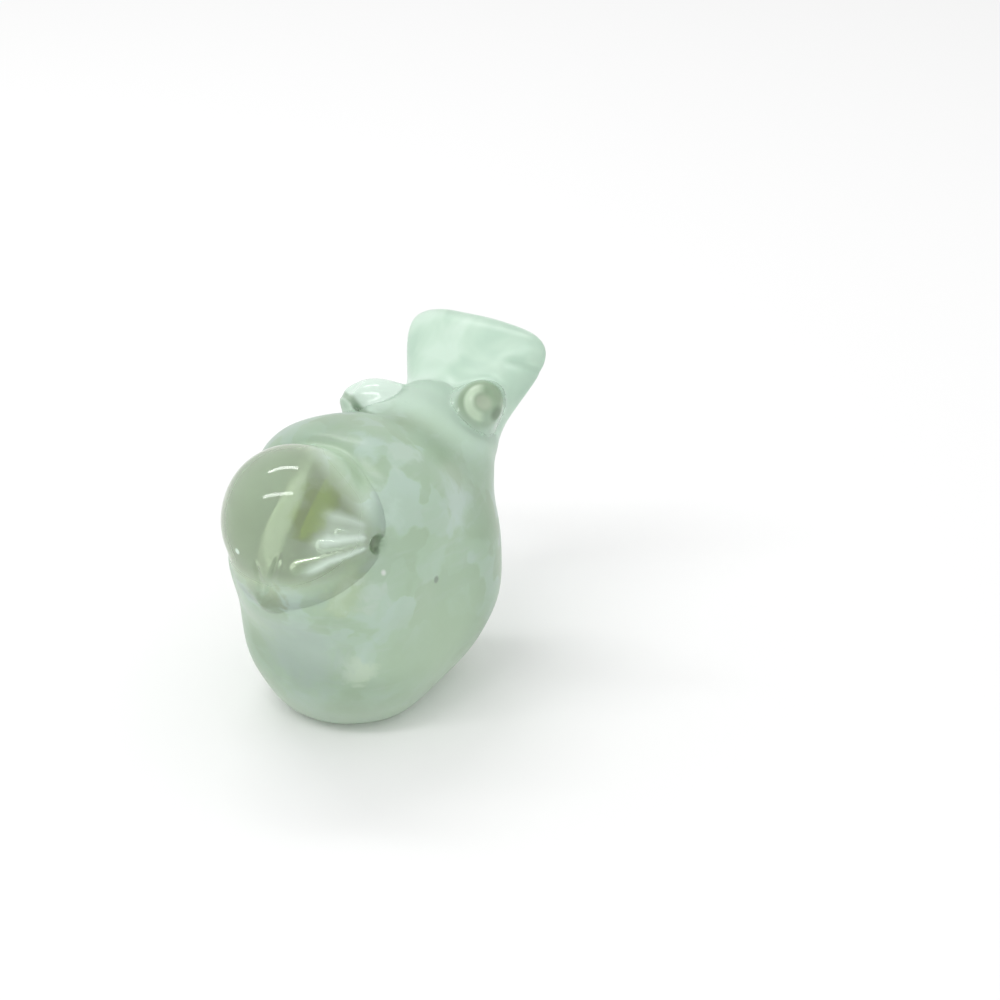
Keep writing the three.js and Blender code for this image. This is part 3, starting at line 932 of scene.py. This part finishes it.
# painted highlight: a paler crescent on the lit side of the dent; painted shade: the dark patch beside it
lit = mm_range(knob, offset_along(knob, DENT_SPOT, LIT_WAY), LIT_EDGE, (0, LIT_SHARE))
crescent_highlight = product(knob, past_inside, before_outside, lit)
shaded = spot_share(knob, SHADED_SPOT, SHADED_EDGE, SHADED_SHARE)
tone = layered(knob, NUB_LOW, (high_up, NUB_HIGH), (in_dent, DENT_GREEN), (on_back, BACK_GREEN),
               (crescent_highlight, CRESCENT_HIGHLIGHT), (shaded, SHADED_GREEN))
join(knob, tone, surface.inputs["Base Color"])

bright_knob, surface = new_finish("bright_knob_glass", through=0.2, rough=0.16)
groove = MARKS["wing_groove"]
past_groove = offset_along(bright_knob, groove["spot"], groove["across"])
below = mm_range(bright_knob, past_groove, GROOVE_EDGE, RISING)
# painted shade: the groove beside the far wing tip is darkened
groove_shade = mark_share(bright_knob, groove)
tone = layered(bright_knob, ABOVE_GROOVE, (below, BELOW_GROOVE), (groove_shade, GROOVE_SHADE))
join(bright_knob, tone, surface.inputs["Base Color"])
print("wing tip finishes with", len(knob.node_tree.nodes), "and", len(bright_knob.node_tree.nodes), "nodes")

# %% [markdown]
# The veins are coloured glass inside clear glass, so light must pass from one to the other without a
# mirror between them: their index is 1, and they scatter most of what reaches them. Faint clouds break up
# their colour. The eyes are beads of smoky dark glass with a polished skin.

# %% Veins and eyes
VEIN_CLOUD_SIZE = 3
BEAD_CLOUD_SIZE = 0.8
SMALL_STOPS = (0.3, 0.7)
PALE_TONES = ((0.88, 0.97, 0.82), (0.97, 1.0, 0.93))
OLIVE_TONES = ((0.27, 0.38, 0.01), (0.36, 0.48, 0.01))
DARK_TONES = ((0.25, 0.31, 0.26), (0.33, 0.40, 0.34))


def cloudy_finish(name, size, tones, **kind):
    finish, surface = new_finish(name, **kind)
    tone = colour_ramp(finish, clouds(finish, size), *zip(SMALL_STOPS, tones))
    join(finish, tone, surface.inputs["Base Color"])
    return finish


pale_streak = cloudy_finish("pale_streak", VEIN_CLOUD_SIZE, PALE_TONES, through=0.15, rough=0.3, ior=1.0)
olive_streak = cloudy_finish("olive_streak", VEIN_CLOUD_SIZE, OLIVE_TONES, through=0.25, rough=0.2, ior=1.0)
dark_bead = cloudy_finish("dark_bead", BEAD_CLOUD_SIZE, DARK_TONES, through=0.0, rough=0.12)
print("finishes so far:", ", ".join(finish.name for finish in bpy.data.materials if finish.use_nodes))

# %% [markdown]
# Now each piece gets its finish and rides on the frame's root body, and the frame's solid that it stands
# in for is hidden. The table also lists the kind of glass from the part's record, which nothing reads.

# %% Dressing the pieces
DRESS = {
    "body": (bird_glass, "clear_glass"),
    "head": (bird_glass, "clear_glass"),
    "beak": (bird_glass, "clear_glass"),
    "tail": (satin, "pale_glass"),
    "left_wing_tip": (knob, "clear_glass"),
    "right_wing_tip": (bright_knob, "clear_glass"),
    "pale_vein": (pale_streak, "pale_glass"),
    "olive_vein": (olive_streak, "olive_glass"),
    "left_eye": (dark_bead, "dark_glass"),
    "right_eye": (dark_bead, "dark_glass"),
}
for name, (finish, slot) in DRESS.items():
    pieces[name].data.materials.append(finish)
    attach(pieces[name], "root")
    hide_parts(name)
print(len(DRESS), "pieces dressed")

# %% [markdown]
# The bird stands on a plain white table in a white room. Glass shows what surrounds it, so the room
# matters more than the lamps: a white sky all round gives the pale, even light of the picture. The sky is
# a little dimmer for light that has been scattered, so that the milky skin doesn't bleach and the table
# keeps the bird's soft shadow.

# %% Floor and world
FLOOR_HALF = 3.0
FLOOR_HEIGHT = -0.0002
FLOOR_WHITE = (0.95, 0.95, 0.95, 1)
SKY_WHITE = (1, 1, 1, 1)
SCATTERED_SKY = 0.82

corners = [(x * FLOOR_HALF, y * FLOOR_HALF, FLOOR_HEIGHT) for x, y in ((-1, -1), (1, -1), (1, 1), (-1, 1))]
floor_mesh = bpy.data.meshes.new("floor")
floor_mesh.from_pydata(corners, [], [(0, 1, 2, 3)])
floor = bpy.data.objects.new("floor", floor_mesh)
bpy.context.scene.collection.objects.link(floor)
paint, surface = new_finish("floor_paint", through=0.0, rough=0.9)
surface.inputs["Base Color"].default_value = FLOOR_WHITE
surface.inputs["Specular IOR Level"].default_value = 0.0
floor_mesh.materials.append(paint)

world = bpy.data.worlds.new("studio")
world.use_nodes = True
sky = world.node_tree.nodes["Background"]
sky.inputs["Color"].default_value = SKY_WHITE
path = world.node_tree.nodes.new("ShaderNodeLightPath")
dim = world.node_tree.nodes.new("ShaderNodeMapRange")
dim.inputs["To Min"].default_value = 1.0
dim.inputs["To Max"].default_value = SCATTERED_SKY
world.node_tree.links.new(path.outputs["Is Diffuse Ray"], dim.inputs["Value"])
world.node_tree.links.new(dim.outputs["Result"], sky.inputs["Strength"])
bpy.context.scene.world = world
print("a floor", 2 * FLOOR_HALF, "m wide under a white sky")

# %% [markdown]
# The camera looks at the bird's left front from a little above, from about an arm's length. Three
# directions, to the right, up and back, set where it stands and how it is turned. The lens follows from
# the width of the view.

# %% Camera
AZIMUTH = math.radians(32)
ELEVATION = math.radians(28)
DISTANCE = 420 * MM
PICTURE_WIDTH = 200 * MM
TARGET_RIGHT = 24
TARGET_UP = 33.6
SENSOR = 36
NEAREST_VIEW = 0.01
FARTHEST_VIEW = 20

right = Vector((math.cos(AZIMUTH), math.sin(AZIMUTH), 0))
back = Vector((math.sin(AZIMUTH) * math.cos(ELEVATION), -math.cos(AZIMUTH) * math.cos(ELEVATION),
               math.sin(ELEVATION)))
up = back.cross(right)
target = right * TARGET_RIGHT * MM + up * TARGET_UP * MM
lens = bpy.data.cameras.new("camera")
lens.sensor_width = SENSOR
lens.lens = SENSOR * DISTANCE / PICTURE_WIDTH
lens.clip_start = NEAREST_VIEW
lens.clip_end = FARTHEST_VIEW
camera = bpy.data.objects.new("camera", lens)
camera.location = target + back * DISTANCE
camera.rotation_mode = "QUATERNION"
camera.rotation_quaternion = Matrix((right, up, back)).transposed().to_quaternion()
bpy.context.scene.collection.objects.link(camera)
bpy.context.scene.camera = camera
bpy.context.scene.view_settings.view_transform = "Standard"
print("camera", round(DISTANCE / MM), "mm away with a lens of", round(lens.lens, 1), "mm")

# %% [markdown]
# Two thin highlights lie across the head, one above the other, so two long narrow lamps hang above and
# beyond the bird. Each is given by the two directions its ends lie in, seen from the head. They are weak:
# they only draw the two lines, and the sky does the rest.

# %% Lamps
LAMP_DISTANCE = 0.9
LAMP_WIDTH = 0.08
LAMP_GLOW = 10
STRIPS = {
    "far_strip": ((-0.50, 0.86, 0.04), (0.02, 1.0, 0.09)),
    "near_strip": ((-0.67, 0.44, 0.60), (-0.05, 0.62, 0.79)),
}

for name, ends in STRIPS.items():
    first, last = ((right * x + up * y + back * z).normalized() * LAMP_DISTANCE for x, y, z in ends)
    run = last - first
    middle = (first + last) / 2
    outward = middle.normalized()
    lengthwise = (run - outward * run.dot(outward)).normalized()
    lamp = bpy.data.lights.new(name, "AREA")
    lamp.shape = "RECTANGLE"
    lamp.size = run.length
    lamp.size_y = LAMP_WIDTH
    lamp.energy = LAMP_GLOW * math.pi * run.length * LAMP_WIDTH
    item = bpy.data.objects.new(name, lamp)
    item.location = Vector(head_centre * MM) + middle
    item.rotation_mode = "QUATERNION"
    turn = Matrix((lengthwise, outward.cross(lengthwise), outward)).transposed()
    item.rotation_quaternion = turn.to_quaternion()
    bpy.context.scene.collection.objects.link(item)
print(len(STRIPS), "strip lamps")
